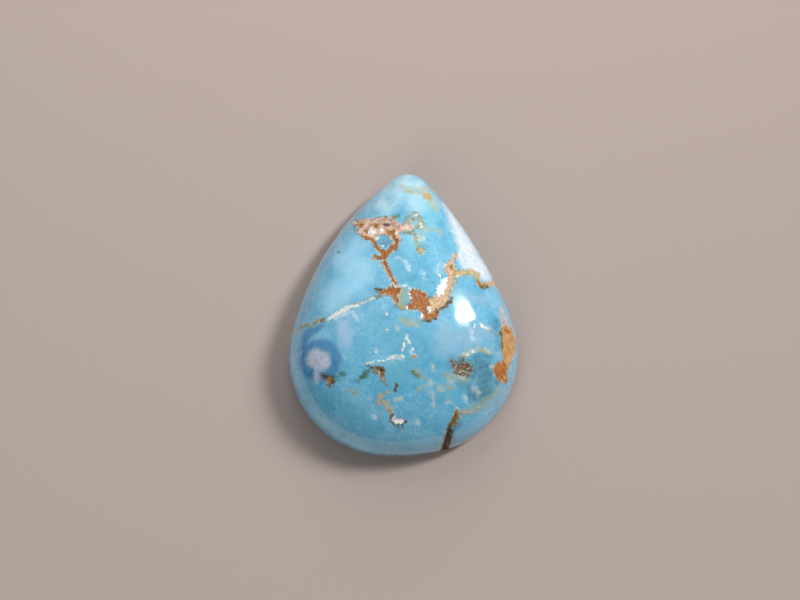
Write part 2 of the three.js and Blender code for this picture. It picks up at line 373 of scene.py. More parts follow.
markings = {
    # a paler nodule, painted lighter still as painted light on the shaded left side
    "paleLeft": {
        "leftNodule": [(355, 245, 9), (345, 262, 12), (360, 275, 14), (340, 290, 12), (330, 300, 8)],
    },
    # paler stone at the tip, partly a painted reflection of the bright floor behind the stone
    "tipGround": {
        "crown": [(406, 178, 6), (398, 190, 12), (384, 206, 10)],
        "crownRight": [(412, 186, 10), (418, 202, 12)],
    },
    "seaGround": {
        "belowTip": [(432, 208, 8), (428, 222, 9), (412, 244, 8)],
    },
    "tealGround": {
        "betweenVeins": [(394, 262, 4), (404, 268, 10), (418, 276, 12), (430, 281, 8)],
        "besideReflectionBand": [(440, 240, 4), (446, 250, 4)],
        "tipSpot": [(389, 198, 3), (389.5, 200, 3)],
        # aboveBand is painted shadow along the top edge of the sunk pink band
        "aboveBand": [(360, 215, 1.5), (369, 213, 2.5), (378, 214.5, 1.5)],
    },
    "midGround": {
        "middle": [(376, 322, 10), (392, 334, 14), (404, 352, 16), (398, 372, 14), (388, 388, 10)],
        "middleRight": [(424, 336, 8), (430, 356, 12), (440, 374, 10), (444, 390, 10)],
    },
    "paleGround": {
        "rightOfHeart": [(443, 327, 6), (444, 338, 8), (447, 350, 7), (452, 356, 4)],
        "rightShoulder": [(468, 297, 5), (480, 299, 6), (489, 304, 3)],
        "rightWide": [(456, 338, 10), (472, 337, 11), (488, 334, 8)],
        "tongue": [(490, 345, 5), (498, 355, 5)],
    },
    "lavender": {
        "streak": [(343, 324, 5.5), (345.5, 334, 7), (347, 345, 4.4)],
        "wedge": [(337, 317, 2), (347, 313, 2)],
    },
    # darker teal around the pit and towards the lower right; seamSide is painted shadow on the shaded side
    # of the seam
    "deepGround": {
        "besidePit": [(475, 357, 5), (484, 364, 8), (485, 376, 10), (482, 389, 8)],
        "lowRight": [(488, 390, 6), (496, 382, 4)],
        "aroundPit": [(455, 365, 4), (463, 368, 6), (472, 366, 5)],
        "byOchre": [(497, 322, 2), (498, 334, 2.4), (499, 345, 1.6)],
        "low": [(466, 386, 5), (474, 394, 8), (484, 396, 7)],
        "seamSide": [(457, 427, 1.6), (453, 434, 2.4), (450, 441, 2.2)],
        "rightOfPit": [(470, 362, 4), (474, 370, 5.5), (472, 379, 4.5)],
    },
    "eyeRing": {
        "ring": [(331, 360, 11), (326, 369, 10.5), (315, 370, 10.5), (309, 361, 10.5),
                 (314, 351.5, 10.5), (325, 351, 11), (331, 360, 11)],
        "trail": [(302.5, 349, 4), (304.5, 340, 4.6), (308, 333.5, 5), (315, 329.5, 4),
                  (322, 325.5, 2.4)],
        "foot": [(312, 376, 4), (306, 372, 4)],
    },
    # the heart is pale lavender, its tone set brighter than it looks as painted light on the shaded left
    # side
    "eyeHeart": {
        "heart": [(315.5, 358.5, 9), (320, 361.5, 9.8)],
        "tail": [(316.8, 373, 2.4), (316.6, 379.5, 2.8)],
    },
    # the pale band on the upper right flank: partly a whitish veil in the stone, partly a painted
    # reflection of a bright light to the upper right
    "milk": {
        "flank": [(443, 200, 0.6), (447, 208, 2.4), (452, 217, 4.4), (458.5, 230, 6.5), (463.5, 240, 8),
                  (467.5, 250, 9.5), (470, 260, 12), (475, 264.5, 11), (485, 274, 6.5)],
    },
    "whiteHaze": {
        "tealStreak": [(398, 258, 1.4), (404, 261, 1.4), (409, 266, 1.8), (408, 272, 1.4)],
        "tealStreakLow": [(421, 272, 1), (424, 278, 1)],
        # besideKnob and highlightFoot are painted glints: sparkle beside the vein glint and below the
        # lamp's highlight
        "besideKnob": [(438.6, 264, 1.4), (437.6, 272, 1.8)],
        "belowHighlight": [(472, 333, 1.6), (473.5, 339, 1.4)],
        "highlightFoot": [(462, 324, 2), (469, 325.5, 2)],
        "leftVeinFoot": [(352, 312, 1.4), (355, 316, 1.4), (358, 320, 1)],
        "aboveInclusion": [(413, 238, 2.2), (425, 239, 2.4)],
        "lowRight": [(464.5, 396, 1.6), (467, 402, 1.4)],
        "lowLeftDot": [(374.5, 417, 2), (375, 418, 2)],
        "lowRightDot": [(418, 422, 1.8), (419, 423, 1.8)],
        "lowMiddleDot": [(401, 398, 1.4), (401.5, 398.5, 1.4)],
        "streakDot": [(376, 351, 1), (376.3, 352, 1)],
        "underStreak": [(387, 360, 1.2), (396, 358.4, 2), (403, 358.4, 1.8)],
        "streakRight": [(409, 349, 1), (411, 352, 1.2)],
        "leftVeinUnder": [(333, 319, 1.6), (341, 315.5, 2), (349, 312, 1.6)],
    },
    "green": {
        "arm": [(370, 371, 1.6), (365, 374.5, 2.3), (361, 378, 2.6), (358, 380.5, 1.8)],
        "eyeTail": [(333.5, 377.6, 2.2), (338, 376, 1.9), (343, 374, 1.2)],
        "bandTop": [(393.5, 216.5, 2.2), (397.5, 215.5, 2)],
        "starFoot": [(414, 372, 2), (419, 376, 2)],
        "leftDot": [(338.6, 251.6, 0.9), (340, 252.6, 0.9)],
    },
    "goldHaze": {
        "tip": [(404, 188, 3), (416, 191, 4.5), (427, 194, 5), (435, 207, 3)],
        "belowTip": [(414, 219, 6), (424, 228, 4), (418, 241, 4)],
        "loop": [(404, 319, 3), (413, 322, 3)],
        "lowerRight": [(499, 389, 3.6), (490, 400, 3.4), (476, 407.5, 3.6), (464, 411.5, 2.4)],
        "besideEye": [(318, 321.5, 2), (306, 326, 2)],
        "belowPit": [(455, 374, 4), (462, 379, 3)],
    },
    "softOlive": {
        "tipStart": [(401.5, 186, 1.5), (405, 189, 1.6)],
        "tip": [(407, 191, 1.5), (414, 191.5, 1.9), (421.5, 193.5, 1.9)],
        "tipBlotch": [(420, 188.5, 1.8), (428, 188, 1.6)],
        "tipDown": [(429.5, 200, 1.4), (434, 206, 1.4), (437, 212, 1.2)],
        "veinRight": [(423, 227.5, 1.1), (429, 229.5, 1), (434, 230, 1.2), (439, 231, 1.4),
                      (440.5, 234.5, 1)],
        "loop": [(404, 318, 1.5), (405, 322, 1.6), (412, 324.5, 1.7), (419, 323, 1.4)],
        "lowFaint": [(350.5, 390.5, 1.6), (356, 393.5, 1.7)],
        "mottleLeft": [(415, 370, 1.2), (419, 374.5, 1.8), (424, 377.5, 1.6)],
        "mottleFoot": [(418, 388.5, 1.6), (422, 387.5, 1.5)],
        "mottleRight": [(445, 373.5, 1.6), (446.5, 376, 1.6)],
        "mottleLow": [(448, 386, 1.6), (450, 389, 1.4)],
        "lowerRightVein": [(485, 402.5, 1.2), (478.5, 407.5, 1.6), (472, 410.5, 1.4), (463, 413, 1.5)],
        "veinUnder": [(456, 277, 1.2), (463, 275.5, 0.9), (470, 275, 0.8)],
        "leftVeinRim": [(300, 328.5, 1.6), (295, 331.5, 1.6), (291, 333, 1)],
        "pitCrown": [(460, 357.5, 1.4), (466, 354.4, 2), (472, 351.6, 1.6)],
        "pitCrownRight": [(480, 350.6, 1.4), (487, 351.4, 1.6)],
        "pitLeft": [(444, 374, 1.6), (448, 377, 1.6)],
        "columnRim": [(457, 281, 1.2), (454, 289, 1.2), (452, 296, 1.2)],
        "pitFootLeft": [(449, 377.5, 1.2), (455, 379, 1.4)],
        "pitFootRight": [(464, 379.5, 1.3), (469, 378, 1.4)],
    },
    "olive": {
        "ring": [(406.5, 221.5, 1.2), (409.5, 215.5, 1.4), (415.5, 213, 1.6), (419, 217.5, 1.6),
                 (421.8, 224, 2.2), (418, 227.5, 1.2), (412.5, 227.5, 1)],
        "ringCore": [(411.5, 219.5, 1.3), (415.5, 219.5, 1.3)],
        "bandEnd": [(404.5, 232, 1.6), (409, 232.8, 2.2), (413, 231, 1.5)],
        "veinDown": [(415, 233, 1.6), (416.5, 238, 1.4), (417.5, 243, 1.6), (419.5, 247.5, 2.2)],
        "blob": [(420, 250, 4), (421.5, 250.5, 3.6)],
        "bandBelow": [(401.5, 240.5, 1.4), (402, 242, 1.2)],
        "bandLeft": [(357, 231, 1.2), (362, 236, 1.5), (367, 238.6, 1.3)],
        # bandAbove is painted shadow along the top edge of the sunk pink band
        "bandAbove": [(382, 217.5, 1.2), (393.5, 218.5, 1.6)],
        "leftVeinEnd": [(325.5, 319.6, 1.3), (319, 321.4, 1.9), (312, 323.8, 1.9), (305, 325.8, 1.8),
                        (300, 328.4, 1.2)],
        "leftVeinTop": [(378, 295.5, 0.7), (370, 298.5, 0.6), (363, 302.5, 0.7), (355, 303.8, 0.9),
                        (347, 306.8, 0.8)],
        "lensLeft": [(376.5, 291, 1), (378, 294.5, 1.2), (377, 299, 1)],
        "lensFoot": [(395, 305, 1.6), (400.5, 307, 1.4), (405, 308.5, 1)],
        "rustRight": [(399, 244, 0.9), (397, 249, 0.9)],
        "lobeRim": [(496.5, 375, 0.8), (500, 380.5, 1), (505, 382.6, 0.8)],
        "bandRim": [(353.5, 227, 0.8), (357.5, 231.5, 0.9), (362, 235.6, 0.8)],
        "branchTail": [(381.2, 375.5, 1.5), (383, 379.5, 1.3), (386.5, 385, 0.9)],
    },
    "sage": {
        "inclusion": [(402.5, 293.5, 4.4), (403.2, 299, 4.8), (401.5, 303, 2.8)],
    },
    "deepInclusion": {
        "betweenBranches": [(381.5, 242, 3.4), (386.5, 242.2, 4.8), (391, 242.8, 3)],
    },
    "creamHaze": {
        "mottleA": [(431, 381, 2), (432.5, 384, 2)],
        "mottleB": [(432.5, 392, 2), (433, 397, 2.6)],
        "mottleC": [(449.5, 380, 1.6), (451, 383.5, 1.6)],
        "mottleD": [(433, 366, 1.8), (433.5, 370, 1.8)],
        "mottleE": [(433.5, 404, 1.8), (434, 408, 1.4)],
        "mottleF": [(447, 402, 1.8), (451, 401, 1.8)],
        "mottleG": [(474.5, 388, 2), (478, 391.5, 2)],
        "mottleH": [(400, 398.5, 1.4), (394.5, 399.5, 1.4)],
        "mottleI": [(458.5, 374.8, 1.4), (461, 377.2, 1.9)],
        "mottleJ": [(439, 387, 1.4), (442, 390, 1.2)],
        "pitCrown": [(464.5, 355.5, 2), (469, 352.5, 1.9)],
        "pitCrownMiddle": [(473, 350, 2), (480, 347.5, 2)],
        "pitCrownRight": [(486, 350.5, 1.7), (490, 352.5, 1.5)],
        "byOchre": [(491, 365.5, 1.6), (494, 369, 2), (495, 375, 1.6)],
        "starTop": [(396.5, 326.5, 2), (399, 329, 1.6)],
        "rightDot": [(488, 329, 1.4), (493, 331, 1.2)],
    },
    "cream": {
        "leftVein": [(358, 305, 1.2), (351, 306.8, 1.9), (344.5, 309.8, 2.4), (338, 313.2, 2.4),
                     (331.5, 317, 1.9), (326.5, 319.6, 0.9)],
        "leftVeinThin": [(375, 297.5, 0.5), (368, 300.5, 0.5), (361, 304.2, 0.7)],
        "starLeft": [(407, 336, 1.2), (405, 341, 1.1), (404.2, 345, 1.2), (402, 350.5, 0.7)],
        "starRight": [(407.8, 340, 0.9), (410, 344, 0.9)],
        "starFoot": [(411.5, 347.8, 0.8), (412.5, 349.6, 0.8)],
        "streak": [(386, 360, 0.8), (389.5, 358.8, 1.2)],
        "streakSpot": [(414.2, 355.7, 1.5), (414.8, 356.2, 1.5)],
        "dotLens": [(386.5, 314, 0.9), (386.8, 314, 0.9)],
        "dotLow": [(387.5, 329.8, 0.9), (387.8, 329.8, 0.9)],
        "dotFar": [(375, 352, 0.7), (375.3, 352, 0.7)],
        "rightDot": [(481.5, 324.5, 1.5), (483.5, 326.5, 2), (486, 328, 1.4)],
        "rightDotLeft": [(474.3, 326.5, 1.2), (474.8, 327, 1.2)],
        "byBranch": [(367.5, 364, 0.9), (373, 362.5, 0.8), (386, 360.5, 0.7)],
        "lensTop": [(388.5, 286, 0.9), (393, 284.8, 1.2)],
        "heartTop": [(402, 286, 1.2), (406.5, 286.5, 1.2), (411, 289.5, 0.9)],
        "ringGlint": [(421.3, 224.3, 0.9), (421.6, 224.3, 0.9)],
        "ringGlintTop": [(414.3, 215.2, 0.8), (417.5, 214.6, 0.8)],
        "streakMiddle": [(391.5, 358, 0.9), (395.5, 356.6, 1.1)],
        "streakRoof": [(397.5, 356.8, 0.8), (400.8, 354.2, 1)],
        "streakEnd": [(402.3, 355.6, 0.8), (404.5, 358.4, 0.8)],
        "knotLeft": [(444.6, 268.4, 0.9), (447, 264.4, 0.9)],
        "crownDotLeft": [(465.5, 355.2, 0.8), (467.2, 354.6, 0.7)],
        "crownDotMiddle": [(472, 352, 0.8), (473.6, 351.4, 0.7)],
    },
    "buff": {
        "lowBranch": [(382.5, 395.5, 2), (380, 399.5, 2.6), (378, 403, 2)],
        "lowBranchRight": [(381.5, 400, 2.2), (385.5, 404, 2), (389, 408.5, 1.8), (391.5, 413, 1.5)],
        "lowBranchTop": [(386.8, 392, 1), (387.2, 393, 1)],
        "seamBranch": [(462, 412.5, 0.8), (466, 414, 0.9), (470, 412.8, 0.7)],
    },
    "tan": {
        "blob": [(433.5, 302, 4), (439, 301.5, 6.8), (444.5, 300, 4)],
        "blobFoot": [(434, 307, 4.6), (432.5, 312, 2.4)],
        "upperRim": [(414, 289.5, 1), (420, 292.3, 1.2), (426, 296.3, 1.4)],
        "veinUp": [(446, 294.5, 2.8), (447.5, 289, 2.8), (449.5, 283, 2.8), (451.5, 277, 3),
                   (451, 271.5, 4.4), (450.5, 267.5, 4.6), (452, 262.5, 2), (454, 258, 1.2),
                   (455, 254.5, 0.8)],
        "edgeEnd": [(486, 284.5, 1.4), (491, 283.5, 2.2), (495.5, 283, 2.2)],
    },
    "pink": {
        "band": [(355, 223.5, 2), (361, 224, 4.8), (370, 226.5, 8), (380, 227, 9), (388, 227.5, 8.4),
                 (396, 228.5, 6)],
        "bandFoot": [(363, 231, 4.4), (368, 233.5, 4.8), (374, 235, 4)],
        "rightArm": [(397, 228, 4.6), (404, 227.5, 3.6), (410.5, 227, 2.6)],
        "rightFoot": [(397, 234, 2.6), (398, 238, 1.4)],
    },
    "blush": {
        "rightEdgeTop": [(501, 309, 1.6), (503, 316, 2.8), (505, 323, 4), (506.5, 331, 4.8)],
    },
    "ochre": {
        "rightEdge": [(506.5, 331, 4.6), (508.3, 339, 7.2), (508.8, 347, 7), (507.6, 355, 4.8),
                      (506.6, 361, 3.8), (505.5, 366, 3.4)],
    },
    "amber": {
        "lobe": [(504, 366, 3), (500.5, 371, 6.6), (502.5, 377, 4.6)],
        "neckPatch": [(506, 331, 2.4), (509.5, 333, 2)],
        "eyeSpot": [(328.3, 379.2, 1.9), (330, 381.5, 2)],
    },
    "gold": {
        "tipSpot": [(426.6, 196, 2.8), (428, 196.2, 2.8)],
        "blobHeart": [(420.2, 250.3, 1.6), (421.2, 250.3, 1.6)],
        "bandDot": [(407.8, 221.5, 1.3), (408.2, 221.8, 1.3)],
        "rightVein": [(456, 273.5, 1.7), (463, 272.5, 1.6), (470, 271.5, 1.8), (474.5, 272.8, 2),
                      (476.8, 276.5, 1.8), (477.5, 281, 1.4)],
        "lensGlint": [(401, 306.5, 1), (403, 307.5, 0.9)],
        "seamRight": [(457.3, 413, 0.8), (457.2, 418, 0.7), (455.6, 423, 0.7), (452.5, 428, 0.6)],
    },
    "rust": {
        "leftBranch": [(363, 236.2, 0.9), (368, 238.2, 1.3), (372.5, 240.2, 1.4), (376, 245.5, 1.5),
                       (380, 250, 1.6), (384, 254, 1.9)],
        "rightBranch": [(391, 232.5, 2.8), (394, 237, 2.2), (396.5, 242, 2), (394, 247.5, 2.1),
                        (389, 251.5, 2.1), (385.5, 255.5, 2.1)],
        "bandPatch": [(387.5, 231.3, 1.8), (391.5, 231.8, 2.6)],
        "nub": [(374.5, 257.2, 1.4), (379, 257.6, 1.8), (384, 256, 2)],
        "trunk": [(385, 255.5, 2), (384.3, 261.5, 1.6), (386.5, 267.5, 1.6), (389, 272, 1.5),
                  (391.7, 277, 1.4), (394, 281, 1.4), (396, 285, 1.6)],
        "leftLens": [(380, 293.3, 1), (385, 292.3, 2), (391, 291.5, 3.8), (397, 290, 3.4)],
        "lensTail": [(394.5, 295, 2.8), (396, 299, 2), (397, 302, 1.1)],
        "heart": [(411.5, 293.5, 2.4), (416, 296, 5), (420, 300.5, 8), (423.5, 302.5, 6)],
        "heartFoot": [(409, 306.5, 2.5), (415, 306, 3.8)],
        "heartRight": [(421, 308, 2.8), (424.5, 311, 2.8)],
        "fringe": [(424.5, 313, 2.4), (427, 317.5, 2.8), (433, 316.5, 2.6), (437, 312.5, 1.4)],
        "bandSpeckLeft": [(357, 225, 1.2), (361, 225.3, 1.4)],
        "bandSpeckMiddle": [(372.5, 225.3, 1.3), (376.5, 226, 1.2)],
        "bandSpeckLow": [(364, 230.5, 0.9), (366.5, 231.5, 1)],
        "veinKnot": [(478.5, 282.5, 1.5), (482, 285.2, 1.8), (486, 286, 1.2)],
        "seamLining": [(455.8, 413.5, 0.8), (454.8, 418.5, 1.4), (453, 423, 1.3), (450.8, 427.5, 0.8),
                       (448, 433, 0.7), (445, 440, 0.7), (442.6, 448, 0.9), (441.4, 455, 0.9)],
        "spotOfStar": [(414.5, 356.2, 0.8), (414.8, 356.2, 0.8)],
        "branchHeart": [(375.5, 369, 1), (381, 371.6, 1.4), (382.5, 376, 0.9)],
        "lobeEnd": [(503, 379.5, 1.6), (504.5, 381, 1.2)],
        "leftVeinSpeck": [(319.5, 320.2, 0.7), (322.5, 319.4, 0.7)],
        "knotDot": [(451.3, 266.4, 0.9), (452.3, 267.4, 0.9)],
    },
    "dark": {
        "branching": [(367.8, 365.2, 0.7), (372, 367.2, 1), (377, 368.6, 1), (383.5, 369.6, 0.8)],
        "branchUnder": [(374, 371.4, 0.6), (380, 374.4, 0.8), (384, 373.8, 0.7)],
        "eyeSpot": [(323.2, 376.4, 1.7), (326, 377, 1.5)],
        "eyeSpotEdge": [(327, 384, 0.8), (331.5, 384.6, 0.9), (333.5, 381, 0.8)],
        "markAboveBranch": [(396.5, 385.5, 1.1), (394.5, 389.5, 1.5)],
        "crystalPitRim": [(391.5, 416, 0.9), (392, 421.5, 1.1), (395, 424.8, 1.2), (401, 425, 1.2),
                          (405.5, 421, 1)],
        "veinEnd": [(479.5, 286.5, 0.9), (484, 287.3, 1), (488, 287, 0.8)],
        "blobRim": [(437, 311.2, 0.9), (441.5, 309.4, 1), (446, 306, 1.3), (449.6, 302.4, 1.4),
                    (451.6, 299, 0.9)],
        "fringeRim": [(424.5, 320.5, 0.9), (429, 321.3, 1), (436, 318.7, 1)],
        "lensRim": [(377, 289.3, 0.6), (382, 289.4, 0.7)],
        "lensEnd": [(376.5, 296.3, 0.6), (381, 296.3, 0.7)],
        "seamShadow": [(452.6, 418.5, 0.8), (451, 424, 1.2), (449.4, 430, 1.7), (449, 436, 2.6),
                       (447.4, 445, 2.9), (446.4, 454, 2.8)],
        "ochreRim": [(500.5, 330, 0.7), (501.5, 338, 0.8), (502.5, 348, 0.8)],
    },
    "grit": {
        "speckledPit": [(451.8, 361, 1), (454, 365.5, 1.8), (458.5, 368.5, 3.6), (464, 367.5, 4.8),
                        (468, 370, 3.2)],
        "pitFoot": [(457, 371.5, 1.8), (462, 373, 2.4), (467.5, 374, 1.8)],
        "pitTop": [(461, 362, 1.4), (463.5, 360.2, 1.2)],
    },
    "redPit": {
        "bandPit": [(382.3, 223.8, 1.1), (385.5, 224.5, 2), (388.3, 225, 1.3)],
    },
    "white": {
        # the glint strokes are painted highlights; the crystal and veil strokes are white crystals in the
        # stone
        "veinGlint": [(438.7, 293.5, 1.8), (440.8, 289, 3.2), (443.6, 284, 3.2), (446, 279.5, 1.8)],
        "knobGlint": [(444.3, 264.5, 1.1), (444.8, 265, 1.1)],
        "veinGlintTop": [(439.5, 275.3, 1.1), (440, 276, 1.1)],
        "bandCrystals": [(370.5, 232, 2.4), (373.5, 232.4, 2.6)],
        "bandVeil": [(379.8, 229.8, 1), (381.8, 230.2, 1)],
        "bandVeilRight": [(395.8, 233, 0.9), (396.3, 235, 0.9)],
        "inclusionCrystals": [(375.5, 237.4, 0.8), (378.6, 238.8, 1.1)],
        "inclusionCrystalsLow": [(382.5, 245.8, 0.9), (384, 246.2, 0.9)],
        "lensCrystals": [(396.5, 286, 1.2), (399.5, 287, 1.1)],
        "pitCrystals": [(394.5, 419.5, 2.2), (397, 421.3, 2.6), (401.5, 420.5, 2.2)],
        "seamCrystals": [(456.3, 408.5, 0.9), (456.6, 411, 1)],
        "heartGlint": [(427, 308, 1), (427, 309.5, 1)],
        "heartGlintLow": [(421.8, 313.6, 1), (421.8, 317.4, 1)],
        "heartGlintLeft": [(411.8, 298, 0.9), (412, 298.8, 0.9)],
    },
    "pits": {
        "speckled": [(456, 366, 3), (461, 367, 5.5), (466, 369, 5.5), (463, 374, 3.5)],
        "crystals": [(394, 421, 3.2), (402, 421, 3.2)],
        "branching": [(374, 367, 2), (380, 370.5, 3), (382, 375, 2.2)],
        "eyeSpot": [(329, 378, 3.2), (330, 383, 2.4)],
        "bandPit": [(381, 224, 1.6), (385.5, 224.5, 2.2), (389.5, 225, 1.6)],
    },
    "seam": {
        "groove": [(456.5, 410, 0.9), (456, 417, 1.6), (454, 424, 2), (451.2, 431, 2.2),
                   (448.5, 438, 2.4), (446, 445, 2.6), (444.5, 452, 2.8), (443.5, 462, 2.8)],
    },
}

markRules = {
    "Spacing": 0.05 * mm,        # between the points along a stroke
    "Widest": 1.2 * mm,          # no half width is larger
    "Warp Size": 0.5 * mm,
    "Warp": 0.1 * mm,
}


solidStone = BVHTree.FromObject(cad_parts["cabochon"], bpy.context.evaluated_depsgraph_get())


def onStone(pixel):
    # where the sight line meets the solid, or the girdle's level beside it
    eye = photoView["place"]
    way = sightLine(pixel)
    place = solidStone.ray_cast(eye, way)[0]
    return place or eye + way * ((stoneShape["girdleTop"] - eye.z) / way.z)


def makeMarkPaths(kind):
    strokes = []
    for stroke in markings[kind].values():
        path = []
        for across, down, halfWidth in stroke:
            place = onStone((across, down))
            path.append((place.x, place.y, halfWidth / photoView["pixelsPerMm"] * mm))
        strokes.append(path)
    return makeCurve(kind + "Helper", strokes)


def markFieldTree():
    # stores each vertex's distance in mm to the edge of the nearest stroke, in plan, negative inside
    tree, given, result = newGeometryTree("markField", {
        "Paths": "Object", "Field": "String", "Spacing": "Float", "Widest": "Float",
        "Warp Size": "Float", "Warp": "Float", "Seed": "Float",
    })
    paths = add(tree, "GeometryNodeObjectInfo", {"Object": given["Paths"]})
    flowing = add(tree, "GeometryNodeCurveSplineType", {"Curve": paths.outputs["Geometry"]},
                  spline_type="CATMULL_ROM")
    dots = add(tree, "GeometryNodeCurveToPoints", {"Curve": flowing.outputs[0], "Length": given["Spacing"]},
               mode="LENGTH")
    # a wide dot is lifted less, so that it counts as nearer
    radius = add(tree, "GeometryNodeInputRadius").outputs[0]
    widest = calc(tree, "POWER", given["Widest"], 2.0)
    square = calc(tree, "SUBTRACT", widest, calc(tree, "POWER", radius, 2.0))
    lift = add(tree, "ShaderNodeCombineXYZ", {"Z": calc(tree, "SQRT", calc(tree, "MAXIMUM", square, 0.0))})
    lifted = add(tree, "GeometryNodeSetPosition", {"Geometry": dots.outputs[0], "Offset": lift.outputs[0]})

    flat = (1, 1, 0)
    place = add(tree, "GeometryNodeInputPosition").outputs[0]
    plan = vectorCalc(tree, "MULTIPLY", place, flat)
    fineness = calc(tree, "DIVIDE", 1.0, given["Warp Size"])
    waves = add(tree, "ShaderNodeTexNoise", {"Vector": plan, "W": given["Seed"], "Scale": fineness},
                noise_dimensions="4D")
    centred = vectorCalc(tree, "SUBTRACT", waves.outputs["Color"], (0.5, 0.5, 0.5))
    shift = vectorCalc(tree, "MULTIPLY", centred, flat)
    warped = vectorCalc(tree, "ADD", plan, scaled(tree, shift, calc(tree, "MULTIPLY", given["Warp"], 2.0)))
    nearest = add(tree, "GeometryNodeSampleNearest",
                  {"Geometry": lifted.outputs[0], "Sample Position": warped}, domain="POINT")
    found = {"Geometry": lifted.outputs[0], "Index": nearest.outputs[0]}
    dotPlace = add(tree, "GeometryNodeSampleIndex", {**found, "Value": place}, data_type="FLOAT_VECTOR")
    dotRadius = add(tree, "GeometryNodeSampleIndex", {**found, "Value": radius}, data_type="FLOAT")
    dotPlan = vectorCalc(tree, "MULTIPLY", dotPlace.outputs[0], flat)
    distance = calc(tree, "SUBTRACT", vectorCalc(tree, "DISTANCE", warped, dotPlan), dotRadius.outputs[0])
    stored = add(tree, "GeometryNodeStoreNamedAttribute",
                 {"Geometry": given["Geometry"], "Name": given["Field"],
                  "Value": calc(tree, "DIVIDE", distance, mm)}, data_type="FLOAT", domain="POINT")
    return endGeometryTree(tree, stored.outputs[0], given, result)


# how deep the polishing has undercut the soft matrix, in mm: slope is the width of a hollow's side

undercuts = {
    "pink": {"Depth": 0.1, "Slope": 0.35, "Lump Size": 0.45, "Lump": 0.12},
    "rust": {"Depth": 0.06, "Slope": 0.12, "Lump Size": 0.2, "Lump": 0.1},
    "tan": {"Depth": 0.05, "Slope": 0.14, "Lump Size": 0.3, "Lump": 0.08},
    "ochre": {"Depth": 0.1, "Slope": 0.3, "Lump Size": 0.5, "Lump": 0.1},
    "pits": {"Depth": 0.1, "Slope": 0.3, "Lump Size": 0.3, "Lump": 0.15},
    "seam": {"Depth": 0.42, "Slope": 0.3, "Lump Size": 0.4, "Lump": 0.2},
}

wearRules = {
    "outerSlope": 0.3,           # how far a hollow's side reaches past the marking's edge, in slopes
    "lumpDetail": 2.0,
    "backFacing": -0.5,          # how far down a normal points where nothing is worn
    "edgeFacing": -0.1,          # and where the wear is full
}


def undercutTree():
    tree, given, result = newGeometryTree("undercut", {
        "Field": "String", "Depth": "Float", "Slope": "Float", "Lump Size": "Float", "Lump": "Float",
        "Seed": "Float",
    })
    field = add(tree, "GeometryNodeInputNamedAttribute", {"Name": given["Field"]}, data_type="FLOAT")
    outer = calc(tree, "MULTIPLY", given["Slope"], wearRules["outerSlope"])
    inner = calc(tree, "MULTIPLY", given["Slope"], -1.0)
    sunk = ramp(tree, field.outputs[0], outer, inner, kind="SMOOTHSTEP")
    place = scaled(tree, add(tree, "GeometryNodeInputPosition").outputs[0], 1 / mm)
    lumps = noise(tree, place, given["Lump Size"], given["Seed"], wearRules["lumpDetail"])
    bumps = calc(tree, "SUBTRACT", lumps, 0.5)
    depth = calc(tree, "ADD", given["Depth"], calc(tree, "MULTIPLY", bumps, given["Lump"]))
    normal = add(tree, "GeometryNodeInputNormal").outputs[0]
    facing = add(tree, "ShaderNodeSeparateXYZ", {0: normal}).outputs[2]
    notBack = ramp(tree, facing, wearRules["backFacing"], wearRules["edgeFacing"])
    sink = calc(tree, "MULTIPLY", calc(tree, "MULTIPLY", sunk, calc(tree, "MAXIMUM", depth, 0.0)), notBack)
    offset = scaled(tree, normal, calc(tree, "MULTIPLY", sink, -mm))
    moved = add(tree, "GeometryNodeSetPosition", {"Geometry": given["Geometry"], "Offset": offset})
    return endGeometryTree(tree, moved.outputs[0], given, result)


def markStone(stone, finish):
    fieldTree = markFieldTree()
    sinkTree = undercutTree()
    helpers = []
    for seed, kind in enumerate(markings):
        helpers.append(makeMarkPaths(kind))
        given = {"Finish": finish, "Paths": helpers[-1], "Field": kind, "Seed": float(seed)}
        useTree(stone, fieldTree, {**given, **markRules})
    for seed, (kind, worn) in enumerate(undercuts.items()):
        useTree(stone, sinkTree, {"Finish": finish, "Field": kind, "Seed": float(seed), **worn})
    return helpers


# colours as they look on screen in the photograph's light

lightLevel = 0.95
brightest = 0.95                 # no surface gives back more


def seen(red, green, blue):
    # a colour on screen, out of 255, as the linear colour of a surface
    linear = []
    for part in (red, green, blue):
        share = part / 255
        linear.append(share / 12.92 if share <= 0.04045 else ((share + 0.055) / 1.055) ** 2.4)
    return tuple(min(value / lightLevel, brightest) for value in linear) + (1,)


# a marking's tones on screen, the last of which shows as flecks, the size of its grain, the size and
# reach of its edge's waves and the width of its soft edge in mm, and how strongly it covers the ground
def lookOf(tones, grain, fray, ragged, soft, strength, fleck=0.0, **more):
    return {"tones": [seen(*tone) for tone in tones], "grain": grain, "fleck": fleck, "strength": strength,
            "edge": {"Fray": fray, "Ragged": ragged, "Soft": soft}, **more}


